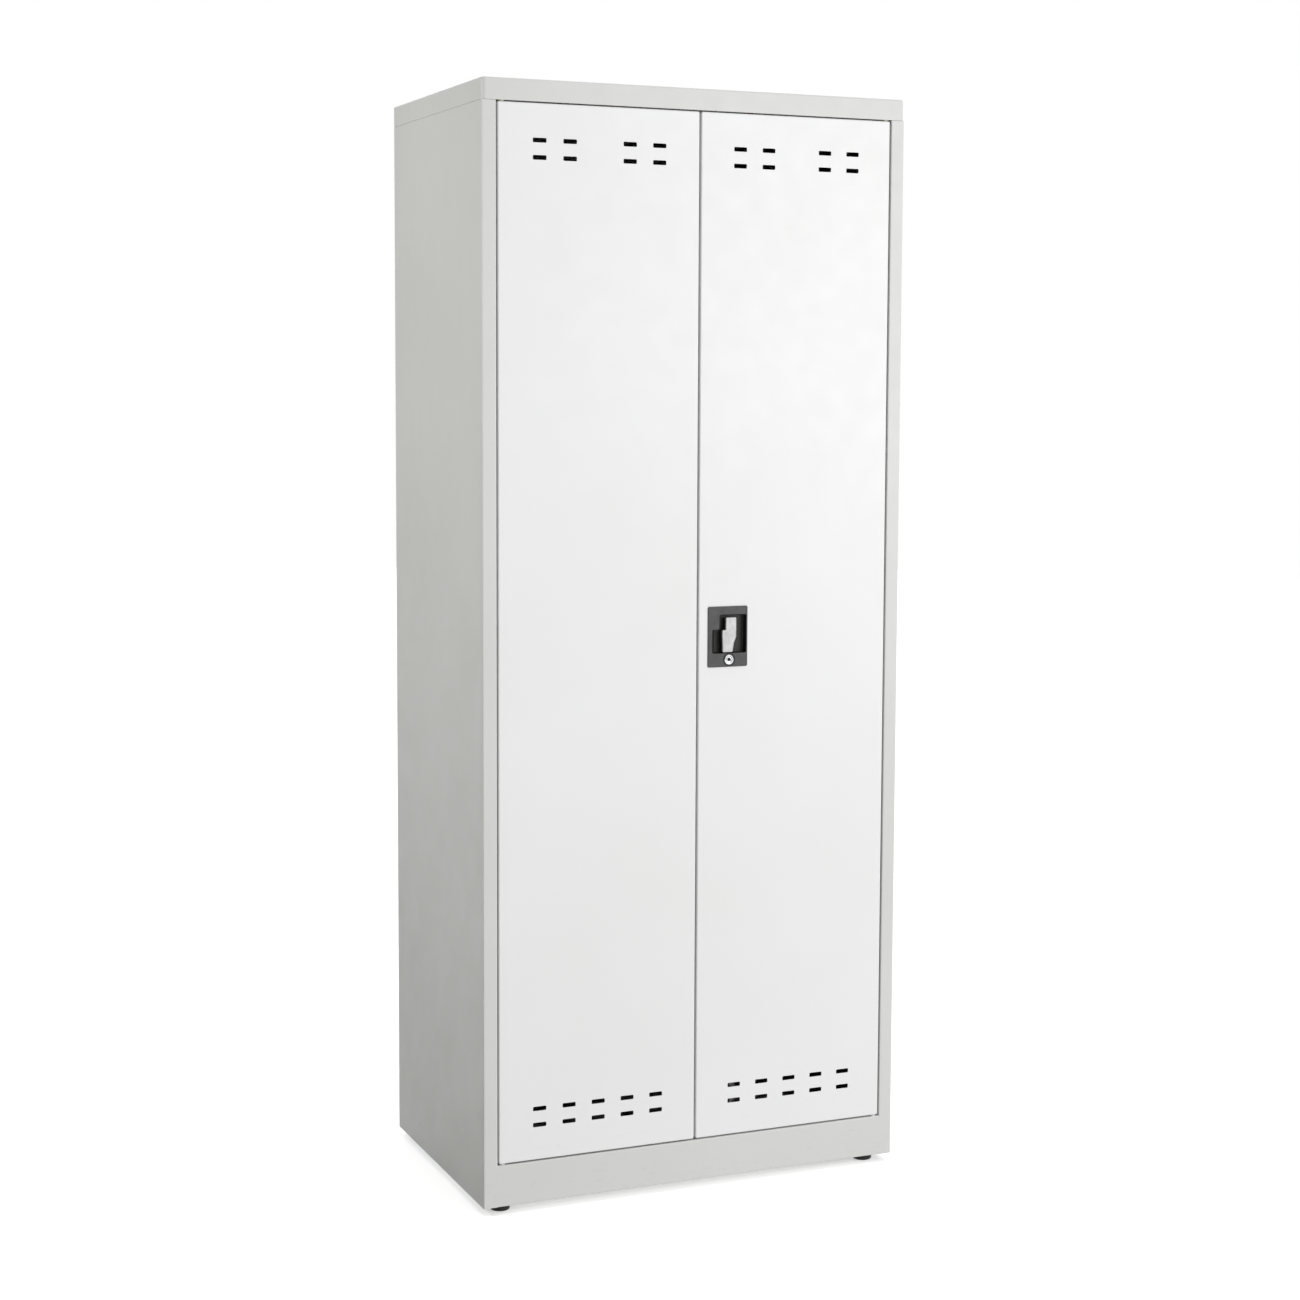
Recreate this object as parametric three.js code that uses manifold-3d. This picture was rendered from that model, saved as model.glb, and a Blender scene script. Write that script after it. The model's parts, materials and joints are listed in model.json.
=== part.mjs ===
// Two-door steel school locker: a folded sheet-steel carcass on four levelling feet, two inset doors on
// pivot pins, a recessed turning handle that drives two locking rods through a rack and pinion, a key
// lock, two slide bolts on the passive left door, a hat shelf, a coat rail and a loose lower shelf.
// Millimetres. +Z is up, the doors face -Y, and the origin is on the floor under the middle.
import * as THREE from "three";
import { mergeVertices } from "three/addons/utils/BufferGeometryUtils.js";
import Module from "manifold-3d";

// Carcass
const HEIGHT = 1950;
const SIDE_X = 400; // outer face of each side panel
const FRONT_Y = -248; // front face of the stiles, the plinth and the top cap
const BACK_Y = 250; // outer face of the rear flanges
const CARCASS_Z = 15; // lower edge of the side panels, above the floor
const SHEET = 1;
const FIT = 0.3; // gap left between pieces that touch
const BEND = 1.2; // bend radius at the middle of the sheet
const CAP_DEPTH = 37; // height of the top cap's skirt
const STILE_WIDTH = 24.7;
const STILE_DEPTH = 26;
const REAR_FLANGE = 24;
const PLINTH_TOP = 88.5;
const FLOOR_Z = 100; // top of the floor panel
const FLOOR_SKIRT = 25;
const TONGUE_HALF = 188; // half the length of the tongues that hold the cap

// Doors
const DOOR_EDGE_X = 372; // hinge edge
const DOOR_FREE_X = 1.5; // free edge, half the gap between the two doors
const DOOR_FACE_Y = -247.5;
const DOOR_BACK_Y = -227.5;
const DOOR_BOTTOM = 91;
const DOOR_TOP = 1911;
const DOOR_LIP = 12;
const PIVOT_X = 364;
const PIVOT_Y = -241.5;
const PIN_R = 2.5;
const PIN_LENGTH = 14;
const BUSH_R = 3.7;
const STOP_Y = -224.5; // front face of the lips that stop the closed doors

// Ventilation slots
const SLOT = { length: 24, height: 7, corner: 2.4, pitch: 55 };
const SLOT_ROWS_TOP = [1849.2, 1820.4];
const SLOT_ROWS_BOTTOM = [182, 153.2];

// Handle, rods and lock, all on the right door
const AXIS_X = 60.5; // the handle and the key lock share this x
const HANDLE_Z = 999;
const LOCK_Z = 955;
const PLATE = { x0: 19.3, x1: 96.3, z0: 942, z1: 1050, y: -249.5, corner: 3 };
const POCKET = { x0: 27.6, x1: 93.5, z0: 966.5, z1: 1035, y: -237 };
const STOP_BLOCK = { x: 41.3, z: 1009 }; // lower right corner of the pocket's raised upper left part
const HOUSING = { x0: 26.1, x1: 95.1, z0: 943.8, z1: 1038.2, y: -235 };
const LEVER = { half: 31, outer: 14.2, inner: 7.4, step: 9.5, taper: 4.5, corner: 5.4, y0: -250, y1: -243 };
const HUB_R = 6;
const SPINDLE = 7; // across the flats
const HANDLE_TURN = 75; // degrees between the lever's two stops
const GEAR = { teeth: 12, pitchR: 12, addendum: 1.8, dedendum: 2.2, pressure: 25, backlash: 0.3 };
const ROD = { width: 10, y0: -232.5, y1: -229.5, tip: 0.5, overrun: 32, strap: 130 };
const DISC = { r: 18, y0: -229, y1: -227.4, notchLow: -13, notchHigh: 36 };
const CASE = { x0: 15, x1: 106, z0: 936, z1: 1056, y1: -223.4 };
const BARREL = { ringR: 8.75, r: 7.2, proud: 0.45 };
const PLUG_R = 5.6;
const CAM = { reach: 27.5, halfWidth: 3, eyeR: 6.5, square: 5 };
const BOLT = { x: -21, width: 12, length: 150, tab: 128, strap: 60 }; // left door's slide bolts

// Fittings inside
const UPRIGHT = { width: 24, depth: 12, y: 190, slotStep: 50, slotHalf: [4, 7] };
const SHELF = { x: 385.5, y0: -208, y1: 240, drop: 25, lip: 10 };
const HAT_SHELF_Z = 1650;
const LOWER_SHELF_Z = 350;
const CLIP = { height: 34, hookZ: -24, halfWidth: 8, tongueHalf: 3.2, ledge: 13, sheet: 1.5 };
const COAT_RAIL = { y: 10, z: 1570, r: 12.5, wall: 1.2, plateR: 23, plate: 2, cup: 12 };

// Levelling feet and the rails that carry them
const FOOT = { x: 358.5, inset: 35, r: 17.5, pad: 12, neckR: 8, studR: 4, top: 66 };
const FOOT_Y = [FRONT_Y + FOOT.inset, BACK_Y - FOOT.inset];
const BASE_RAIL = { z: 16.4, height: 43.6, plate: 2, lip: 16, reach: 21, collarR: 7.5, collar: 18 };

// Places worked out from the sizes above
const INNER_X = SIDE_X - SHEET - FIT; // where anything lying against a side panel starts
const BETWEEN_STILES = SIDE_X - STILE_WIDTH - FIT;
const PANEL_TOP = HEIGHT - CAP_DEPTH - FIT;
const HEADER_Z = HEIGHT - CAP_DEPTH + FIT; // underside of the header rail
const REAR_Y = BACK_Y - SHEET - FIT; // rear face of the back panel
const BEHIND_STILES_Y = FRONT_Y + STILE_DEPTH + FIT;
const BEFORE_BACK_Y = REAR_Y - SHEET - FIT;
const DOOR_MID_X = (DOOR_EDGE_X + DOOR_FREE_X) / 2;
const UPRIGHT_WEB_X = INNER_X - UPRIGHT.depth;
const UPRIGHT_TOP = PANEL_TOP - 59.4;
const ROOT_R = GEAR.pitchR + GEAR.dedendum;
const UPPER_ROD_X = AXIS_X - ROOT_R - ROD.width / 2;
const LOWER_ROD_X = AXIS_X + ROOT_R + ROD.width / 2;

const wasm = await Module();
wasm.setup();

const paint = { roughness: 0.45, metalness: 0.1 };
const finishes = {
  grey: new THREE.MeshStandardMaterial({ color: 0xd2d3ce, ...paint }),
  white: new THREE.MeshStandardMaterial({ color: 0xf0f0f0, ...paint }),
  black: new THREE.MeshStandardMaterial({ color: 0x2b2b2b, roughness: 0.5, metalness: 0 }),
  silver: new THREE.MeshStandardMaterial({ color: 0xd8d8d8, roughness: 0.3, metalness: 0.9 }),
  zinc: new THREE.MeshStandardMaterial({ color: 0xb8babb, roughness: 0.4, metalness: 0.9 }),
  nylon: new THREE.MeshStandardMaterial({ color: 0xe6e4dc, roughness: 0.6, metalness: 0 }),
};

// ---- From three.js geometry to solids and back ----

function solidOf(geometry) {
  const loose = geometry.index ? geometry.toNonIndexed() : geometry;
  const bare = new THREE.BufferGeometry().setAttribute("position", loose.attributes.position);
  const merged = mergeVertices(bare, 1e-4);
  return new wasm.Manifold(
    new wasm.Mesh({
      numProp: 3,
      vertProperties: merged.attributes.position.array,
      triVerts: new Uint32Array(merged.index.array),
    }),
  );
}

function geometryOf(solid) {
  const mesh = solid.getMesh();
  const geometry = new THREE.BufferGeometry();
  geometry.setAttribute("position", new THREE.BufferAttribute(new Float32Array(mesh.vertProperties), 3));
  geometry.setIndex(new THREE.BufferAttribute(new Uint32Array(mesh.triVerts), 1));
  geometry.computeVertexNormals();
  return geometry;
}

const joined = (...solids) => solids.reduce((all, next) => all.add(next));
const cut = (solid, ...holes) => holes.reduce((left, hole) => left.subtract(hole), solid);
const mirrored = (solid) => solid.mirror([1, 0, 0]);

// A named piece in a group, at a place
function add(group, name, solid, finish, [x, y, z] = [0, 0, 0]) {
  const mesh = new THREE.Mesh(geometryOf(solid), finishes[finish]);
  mesh.name = name;
  mesh.position.set(x, y, z);
  group.add(mesh);
}

// A group that holds pieces drawn about their own axis
function groupAt(parent, x, y, z) {
  const group = new THREE.Group();
  group.position.set(x, y, z);
  parent.add(group);
  return group;
}

// ---- Basic shapes ----

// A box between two corners
function box([x0, y0, z0], [x1, y1, z1]) {
  const geometry = new THREE.BoxGeometry(x1 - x0, y1 - y0, z1 - z0);
  geometry.translate((x0 + x1) / 2, (y0 + y1) / 2, (z0 + z1) / 2);
  return solidOf(geometry);
}

// How the (a, b) plane of an outline and its depth turn into X, Y and Z
const PLANES = {
  x: new THREE.Matrix4().set(0, 0, 1, 0, 1, 0, 0, 0, 0, 1, 0, 0, 0, 0, 0, 1), // (y, z) along X
  y: new THREE.Matrix4().set(1, 0, 0, 0, 0, 0, -1, 0, 0, 1, 0, 0, 0, 0, 0, 1), // (x, z) along -Y
  z: new THREE.Matrix4(), // (x, y) along Z
};

// A closed outline of [a, b] points, extruded along an axis from one coordinate to another
function prism(outline, axis, from, to) {
  const shape = new THREE.Shape(outline.map(([a, b]) => new THREE.Vector2(a, b)));
  const geometry = new THREE.ExtrudeGeometry(shape, { depth: to - from, bevelEnabled: false });
  geometry.translate(0, 0, axis === "y" ? -to : from);
  geometry.applyMatrix4(PLANES[axis]);
  return solidOf(geometry);
}

// Points on an arc, its angles in degrees
function arc(a, b, radius, fromDeg, toDeg, steps) {
  return Array.from({ length: steps + 1 }, (_, i) => {
    const turn = THREE.MathUtils.degToRad(fromDeg + ((toDeg - fromDeg) * i) / steps);
    return [a + radius * Math.cos(turn), b + radius * Math.sin(turn)];
  });
}

// A cylinder along an axis; (a, b) is its centre in the other two directions
function cylinder(a, b, radius, axis, from, to, sides = 16) {
  return prism(arc(a, b, radius, 0, 360 - 360 / sides, sides - 1), axis, from, to);
}

// A piece turned about the Z axis; profile points are [radius, z]
function turned(profile, sides) {
  const closed = [[0, profile[0][1]], ...profile, [0, profile.at(-1)[1]]];
  const points = closed.map(([r, z]) => new THREE.Vector2(r, z));
  return solidOf(new THREE.LatheGeometry(points, sides).rotateX(Math.PI / 2));
}

// A rectangle with round corners
function roundedRect(a0, b0, a1, b1, r, steps) {
  return [
    ...arc(a1 - r, b1 - r, r, 0, 90, steps),
    ...arc(a0 + r, b1 - r, r, 90, 180, steps),
    ...arc(a0 + r, b0 + r, r, 180, 270, steps),
    ...arc(a1 - r, b0 + r, r, 270, 360, steps),
  ];
}

// The outline of a sheet whose mid-line runs through the given points with square, rounded bends
function folded(path, steps = 2) {
  const points = path.map(([a, b]) => new THREE.Vector2(a, b));
  const left = [];
  const right = [];
  points.forEach((point, i) => {
    const into = i > 0 ? point.clone().sub(points[i - 1]).normalize() : null;
    const out = i < points.length - 1 ? points[i + 1].clone().sub(point).normalize() : null;
    if (!into || !out) {
      const along = into ?? out;
      left.push([point.x - (along.y * SHEET) / 2, point.y + (along.x * SHEET) / 2]);
      right.push([point.x + (along.y * SHEET) / 2, point.y - (along.x * SHEET) / 2]);
      return;
    }
    const side = Math.sign(into.x * out.y - into.y * out.x); // +1 bends to the left
    const centre = point.clone().addScaledVector(into, -BEND).addScaledVector(out, BEND);
    const start = THREE.MathUtils.radToDeg(Math.atan2(-into.x * side, into.y * side));
    const bend = (r) => arc(centre.x, centre.y, r, start, start + side * 90, steps);
    left.push(...bend(BEND - (side * SHEET) / 2));
    right.push(...bend(BEND + (side * SHEET) / 2));
  });
  return [...left, ...right.reverse()];
}

// ---- Carcass ----

// The left panel folds round at the front into a stile; the tongue at its top slips inside the cap
function sidePanel() {
  const webX = -SIDE_X + SHEET / 2;
  const returnX = -SIDE_X + STILE_WIDTH - SHEET / 2;
  const hemY = FRONT_Y + STILE_DEPTH - SHEET / 2;
  const outline = folded([
    [returnX - 11, hemY],
    [returnX, hemY],
    [returnX, FRONT_Y + SHEET / 2],
    [webX, FRONT_Y + SHEET / 2],
    [webX, BACK_Y - SHEET / 2],
    [webX + REAR_FLANGE, BACK_Y - SHEET / 2],
  ]);
  const [tongueX, half, overlap] = [-INNER_X + SHEET, TONGUE_HALF, 26];
  const weld = box([webX, -half, PANEL_TOP - overlap], [tongueX, half, PANEL_TOP - overlap / 2]);
  const tongue = box([-INNER_X, -half, PANEL_TOP - overlap], [tongueX, half, PANEL_TOP + overlap]);
  return joined(prism(outline, "z", CARCASS_Z, PANEL_TOP), weld, tongue);
}

function topCap() {
  const hollowX = SIDE_X - SHEET;
  return cut(
    box([-SIDE_X, FRONT_Y, HEIGHT - CAP_DEPTH], [SIDE_X, BACK_Y, HEIGHT]),
    box([-hollowX, FRONT_Y + SHEET, HEIGHT - CAP_DEPTH - 1], [hollowX, BACK_Y - SHEET, HEIGHT - SHEET]),
  );
}

// What a horizontal flange needs cut out: two bush holes, and slots for a rod and a bolt
function flangeHoles(z, rodX) {
  const slot = (x, width) =>
    box([x - width / 2 - 0.8, ROD.y0 - 0.8, z - 4], [x + width / 2 + 0.8, ROD.y1 + 0.8, z + 4]);
  const bushHole = (x) => cylinder(x, PIVOT_Y, BUSH_R + FIT, "z", z - 4, z + 4);
  return [bushHole(-PIVOT_X), bushHole(PIVOT_X), slot(rodX, ROD.width), slot(BOLT.x, BOLT.width)];
}

// A rail spot-welded behind the cap's skirt; its hanging lip stops the doors
function headerRail() {
  const frontY = FRONT_Y + SHEET + FIT + SHEET / 2;
  const outline = folded([
    [STOP_Y + SHEET / 2, DOOR_TOP - 13],
    [STOP_Y + SHEET / 2, HEADER_Z + SHEET / 2],
    [frontY, HEADER_Z + SHEET / 2],
    [frontY, HEIGHT - 10],
  ]);
  return cut(prism(outline, "x", -BETWEEN_STILES, BETWEEN_STILES), ...flangeHoles(HEADER_Z, UPPER_ROD_X));
}

function plinth() {
  const faceY = FRONT_Y + SHEET / 2;
  const rearY = STOP_Y - FIT;
  const outline = folded([
    [rearY, PLINTH_TOP - SHEET / 2],
    [faceY, PLINTH_TOP - SHEET / 2],
    [faceY, CARCASS_Z + SHEET / 2],
    [rearY, CARCASS_Z + SHEET / 2],
  ]);
  return cut(prism(outline, "x", -BETWEEN_STILES, BETWEEN_STILES), ...flangeHoles(PLINTH_TOP, LOWER_ROD_X));
}

// A shallow tray whose nose reaches forward between the stiles and stops the doors
function floorPanel() {
  const [x, y0, y1] = [INNER_X, BEHIND_STILES_Y, BEFORE_BACK_Y];
  const [noseX, lowZ, skirtZ] = [BETWEEN_STILES, FLOOR_Z - FLOOR_SKIRT, FLOOR_Z - SHEET / 2];
  return joined(
    box([-x, y0, FLOOR_Z - SHEET], [x, y1, FLOOR_Z]),
    box([-x, y0, lowZ], [-x + SHEET, y1, skirtZ]),
    box([x - SHEET, y0, lowZ], [x, y1, skirtZ]),
    box([-x, y1 - SHEET, lowZ], [x, y1, skirtZ]),
    box([-noseX, STOP_Y, FLOOR_Z - SHEET], [noseX, y0 + SHEET, FLOOR_Z]),
    box([-noseX, STOP_Y, lowZ], [noseX, STOP_Y + SHEET, skirtZ]),
  );
}

function backPanel() {
  return box([-INNER_X, REAR_Y - SHEET, CARCASS_Z + SHEET], [INNER_X, REAR_Y, HEIGHT - 2 * SHEET]);
}

// The left channel along the foot of the side panel, with a threaded collar for each foot
function baseRail() {
  const { z, height, plate, lip, reach, collarR, collar } = BASE_RAIL;
  const [y0, y1] = [BEHIND_STILES_Y, BEFORE_BACK_Y];
  const edgeX = -FOOT.x + reach;
  const collarTop = z + plate + collar;
  const atFeet = (radius, z0, z1) => FOOT_Y.map((y) => cylinder(-FOOT.x, y, radius, "z", z0, z1));
  const channel = joined(
    box([-INNER_X, y0, z], [-INNER_X + plate, y1, z + height]),
    box([-INNER_X, y0, z], [edgeX, y1, z + plate]),
    box([edgeX - plate, y0, z], [edgeX, y1, z + lip]),
    ...atFeet(collarR, z + plate / 2, collarTop),
  );
  return cut(channel, ...atFeet(FOOT.studR + FIT, z - 1, collarTop + 1));
}

// Pad, neck and stud in one piece, about its own axis
function foot() {
  const { r, pad, neckR, studR, top } = FOOT;
  const neckTop = BASE_RAIL.z - FIT;
  const profile = [
    [r - 1.5, 0],
    [r, 1.5],
    [r, pad - 2],
    [r - 2, pad],
    [neckR, pad],
    [neckR, neckTop],
    [studR, neckTop],
    [studR, top],
  ];
  return turned(profile, 24);
}

// ---- Fittings inside ----

// A perforated channel for the left wall, drawn with its middle on y = 0
function upright() {
  const { width, slotStep, slotHalf } = UPRIGHT;
  const flangeY = (width - SHEET) / 2;
  const webX = -UPRIGHT_WEB_X - SHEET / 2;
  const outline = folded([
    [-INNER_X, flangeY],
    [webX, flangeY],
    [webX, -flangeY],
    [-INNER_X, -flangeY],
  ]);
  const slots = [];
  for (let z = LOWER_SHELF_Z - 95; z < UPRIGHT_TOP - slotStep; z += slotStep) {
    slots.push(box([webX - 2, -slotHalf[0], z - slotHalf[1]], [webX + 2, slotHalf[0], z + slotHalf[1]]));
  }
  return cut(prism(outline, "z", FLOOR_Z + FIT, UPRIGHT_TOP), ...slots);
}

// A tray with its edges folded down and back in; its top is on z = 0
function shelf() {
  const { x, y0, y1, drop, lip } = SHELF;
  return cut(
    box([-x, y0, -drop], [x, y1, 0]),
    box([-x + SHEET, y0 + SHEET, -drop + SHEET], [x - SHEET, y1 - SHEET, -SHEET]),
    box([-x + lip, y0 + lip, -drop - 1], [x - lip, y1 - lip, -drop + 2]),
  );
}

// A clip for the left wall: it hooks into an upright's slot, and its ledge, top on z = 0, holds the shelf
function shelfClip() {
  const { height, hookZ, halfWidth, tongueHalf, ledge, sheet } = CLIP;
  const face = -UPRIGHT_WEB_X + FIT;
  return joined(
    box([face, -halfWidth, -height], [face + sheet, halfWidth, 0]),
    box([face, -halfWidth, -sheet], [face + ledge, halfWidth, 0]),
    box([face - 3.5, -tongueHalf, hookZ], [face + 1, tongueHalf, hookZ + 3]),
    box([face - 3.5, -tongueHalf, hookZ - 2.4], [face - 2, tongueHalf, hookZ + 3]),
  );
}

function coatRail() {
  const { y, z, r, wall, plate } = COAT_RAIL;
  const end = INNER_X - plate - FIT;
  return cut(
    cylinder(y, z, r, "x", -end, end, 20),
    cylinder(y, z, r - wall, "x", -end - 1, end + 1, 20),
  );
}

// A plate and cup on the left wall that hold the coat rail's end
function railBracket() {
  const { y, z, r, plateR, plate, cup } = COAT_RAIL;
  const plateX = -INNER_X + plate;
  return joined(
    cylinder(y, z, plateR, "x", -INNER_X, plateX, 20),
    cut(
      cylinder(y, z, r + 3, "x", plateX - 0.5, plateX + cup, 20),
      cylinder(y, z, r + FIT, "x", plateX, plateX + cup + 1, 20),
    ),
  );
}

// ---- Doors, drawn for the right-hand side ----

function ventSlots() {
  const { length, height, corner, pitch } = SLOT;
  const slotAt = (x, z) => {
    const outline = roundedRect(x - length / 2, z - height / 2, x + length / 2, z + height / 2, corner, 2);
    return prism(outline, "y", DOOR_FACE_Y - 1, DOOR_FACE_Y + 3);
  };
  return [-2, -1, 0, 1, 2].flatMap((column) => {
    // the stiffener takes the middle column's place at the top
    const rows = column === 0 ? SLOT_ROWS_BOTTOM : [...SLOT_ROWS_TOP, ...SLOT_ROWS_BOTTOM];
    return rows.map((z) => slotAt(DOOR_MID_X + column * pitch, z));
  });
}

// A folded pan: front sheet, four returns and a lip all round
function doorPan() {
  const [x0, x1] = [DOOR_FREE_X, DOOR_EDGE_X];
  const pinHole = (z) => cylinder(PIVOT_X, PIVOT_Y, PIN_R + FIT, "z", z - 3, z + 3);
  return cut(
    box([x0, DOOR_FACE_Y, DOOR_BOTTOM], [x1, DOOR_BACK_Y, DOOR_TOP]),
    box(
      [x0 + SHEET, DOOR_FACE_Y + SHEET, DOOR_BOTTOM + SHEET],
      [x1 - SHEET, DOOR_BACK_Y - SHEET, DOOR_TOP - SHEET],
    ),
    box(
      [x0 + DOOR_LIP, DOOR_BACK_Y - 2, DOOR_BOTTOM + DOOR_LIP],
      [x1 - DOOR_LIP, DOOR_BACK_Y + 1, DOOR_TOP - DOOR_LIP],
    ),
    ...ventSlots(),
    pinHole(DOOR_BOTTOM),
    pinHole(DOOR_TOP),
  );
}

// A slot in a door's end for a rod or bolt
function endSlot(x, width, z) {
  return box([x - width / 2 - 0.5, ROD.y0 - 0.5, z - 3], [x + width / 2 + 0.5, ROD.y1 + 0.5, z + 3]);
}

function rightDoor() {
  const { x0, x1, z0, z1 } = HOUSING;
  return cut(
    doorPan(),
    box([x0 - FIT, DOOR_FACE_Y - 1, z0 - FIT], [x1 + FIT, DOOR_FACE_Y + 3, z1 + FIT]),
    endSlot(UPPER_ROD_X, ROD.width, DOOR_TOP),
    endSlot(LOWER_ROD_X, ROD.width, DOOR_BOTTOM),
  );
}

function leftDoor() {
  const slots = [DOOR_TOP, DOOR_BOTTOM].map((z) => endSlot(BOLT.x, BOLT.width, z));
  return cut(mirrored(doorPan()), ...slots);
}

// A hat section welded inside a door's face, drawn with its middle on x = 0
function hat(halfWidth, flange, backY, z0, z1) {
  const baseY = DOOR_FACE_Y + SHEET + FIT + SHEET / 2;
  const outline = folded([
    [halfWidth + flange, baseY],
    [halfWidth, baseY],
    [halfWidth, backY],
    [-halfWidth, backY],
    [-halfWidth, baseY],
    [-halfWidth - flange, baseY],
  ]);
  return prism(outline, "z", z0, z1);
}

const stiffener = () => hat(14, 10, DOOR_BACK_Y - 4, SLOT_ROWS_BOTTOM[0] + 30, DOOR_TOP - 20);

// A short strap that a rod or bolt slides behind
const strap = (width) => hat(width / 2 + 1.1, 9, ROD.y1 + 0.9, -12, 12);

// A pin through a door's end, about its own axis: up is +1 for the upper pin and -1 for the lower one.
// Its head lies inside the door, and z = 0 is the head's outer face
function pivotPin(up) {
  const head = [[4.4, -2.5], [4.4, 0]];
  const shaft = [[PIN_R, 0], [PIN_R, PIN_LENGTH]];
  const pin = turned([...head, ...shaft], 16);
  return up > 0 ? pin : pin.mirror([0, 0, 1]);
}

// A flanged sleeve, about its own axis, with z = 0 on the sheet's face; the doors stand on the lower flanges
function pivotBush(up) {
  const flange = up > 0 ? 1.2 : DOOR_BOTTOM - PLINTH_TOP - 2 * FIT;
  const bush = cut(
    joined(cylinder(0, 0, 5, "z", -FIT - flange, -FIT), cylinder(0, 0, BUSH_R, "z", -FIT - 1, 7)),
    cylinder(0, 0, PIN_R + FIT, "z", -FIT - flange - 1, 8),
  );
  return up > 0 ? bush : bush.mirror([0, 0, 1]);
}

// A flat bolt with a finger tab, about its own middle line, with z = 0 at its tip
function slideBolt(up) {
  const { width, length, tab } = BOLT;
  const bolt = joined(
    box([-width / 2, ROD.y0, -length], [width / 2, ROD.y1, 0]),
    box([-4.5, ROD.y1 - 0.5, -tab - 5], [4.5, ROD.y1 + 15, -tab + 5]),
  );
  return up > 0 ? bolt : bolt.mirror([0, 0, 1]);
}

// ---- Handle and lock ----

// Cover plate and pocket. The pocket's raised upper left part stops the lever at the end of its turn
function handleHousing() {
  const { x0, x1, z0, z1, y, corner } = PLATE;
  const h = HOUSING;
  const p = POCKET;
  const seatY = DOOR_FACE_Y - FIT;
  const plate = prism(roundedRect(x0, z0, x1, z1, corner, 3), "y", y, seatY);
  const body = box([h.x0, seatY - 0.5, h.z0], [h.x1, h.y, h.z1]);
  const pocket = joined(
    box([STOP_BLOCK.x, y - 1, p.z0], [p.x1, p.y, p.z1]),
    box([p.x0, y - 1, p.z0], [STOP_BLOCK.x + 1, p.y, STOP_BLOCK.z]),
  );
  const throughHole = (z, radius) => cylinder(AXIS_X, z, radius + FIT, "y", y - 1, h.y + 1, 20);
  return cut(joined(plate, body), pocket, throughHole(HANDLE_Z, HUB_R), throughHole(LOCK_Z, BARREL.r));
}

// A square hole or bar along Y, about its own axis
const square = (across, y0, y1) => box([-across / 2, y0, -across / 2], [across / 2, y1, across / 2]);

// The S-shaped lever: two offset wings about a hub, with the spindle behind it
function handleLever() {
  const { half, outer, inner, step, taper, corner, y0, y1 } = LEVER;
  const wing = [
    [outer, -taper],
    ...arc(outer - corner, half - corner, corner, 0, 90, 4),
    ...arc(corner - inner, half - corner, corner, 90, 180, 4),
    [-inner, step],
  ];
  const outline = [...wing, ...wing.map(([a, b]) => [-a, -b])];
  return joined(
    prism(outline, "y", y0, y1),
    cylinder(0, 0, HUB_R, "y", y1 - 0.5, HOUSING.y + 0.5, 20),
    square(SPINDLE, HOUSING.y, DISC.y1 + 0.6),
  );
}

// An involute pinion with a tooth pointing at each rack
function drivePinion() {
  const { teeth, pitchR, addendum, dedendum, pressure, backlash } = GEAR;
  const baseR = pitchR * Math.cos(THREE.MathUtils.degToRad(pressure));
  const involute = (r) => Math.sqrt((r / baseR) ** 2 - 1) - Math.acos(baseR / r);
  const halfTooth = Math.PI / (2 * teeth) - backlash / (2 * pitchR);
  const halfAngle = (r) => halfTooth + involute(pitchR) - involute(r);
  const [flankStart, flankEnd, rootR] = [baseR + 0.05, pitchR + addendum, pitchR - dedendum];
  const radii = [0, 1, 2, 3].map((i) => flankStart + ((flankEnd - flankStart) * i) / 3);
  const half = [[rootR, halfAngle(flankStart)], ...radii.map((r) => [r, halfAngle(r)])];
  const tooth = [...half.map(([r, a]) => [r, -a]), ...half.reverse()];
  const outline = Array.from({ length: teeth }, (_, i) => (2 * Math.PI * i) / teeth).flatMap((middle) =>
    tooth.map(([r, a]) => [r * Math.cos(middle + a), r * Math.sin(middle + a)]),
  );
  return cut(prism(outline, "y", ROD.y0, ROD.y1), square(SPINDLE + 2 * FIT, ROD.y0 - 1, ROD.y1 + 1));
}

// A disc with a notch for each end of the lever's turn, which the lock's cam swings up into
function lockDisc() {
  const { r, y0, y1, notchLow, notchHigh } = DISC;
  const notchR = HANDLE_Z - LOCK_Z - CAM.reach - 1.3;
  const notches = [-90, -90 + HANDLE_TURN].map((middle) => {
    const sector = [
      ...arc(0, 0, r + 6, middle + notchLow, middle + notchHigh, 6),
      ...arc(0, 0, notchR, middle + notchHigh, middle + notchLow, 6),
    ];
    return prism(sector, "y", y0 - 1, y1 + 1);
  });
  return cut(cylinder(0, 0, r, "y", y0, y1, 36), ...notches, square(SPINDLE + 2 * FIT, y0 - 1, y1 + 1));
}

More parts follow.
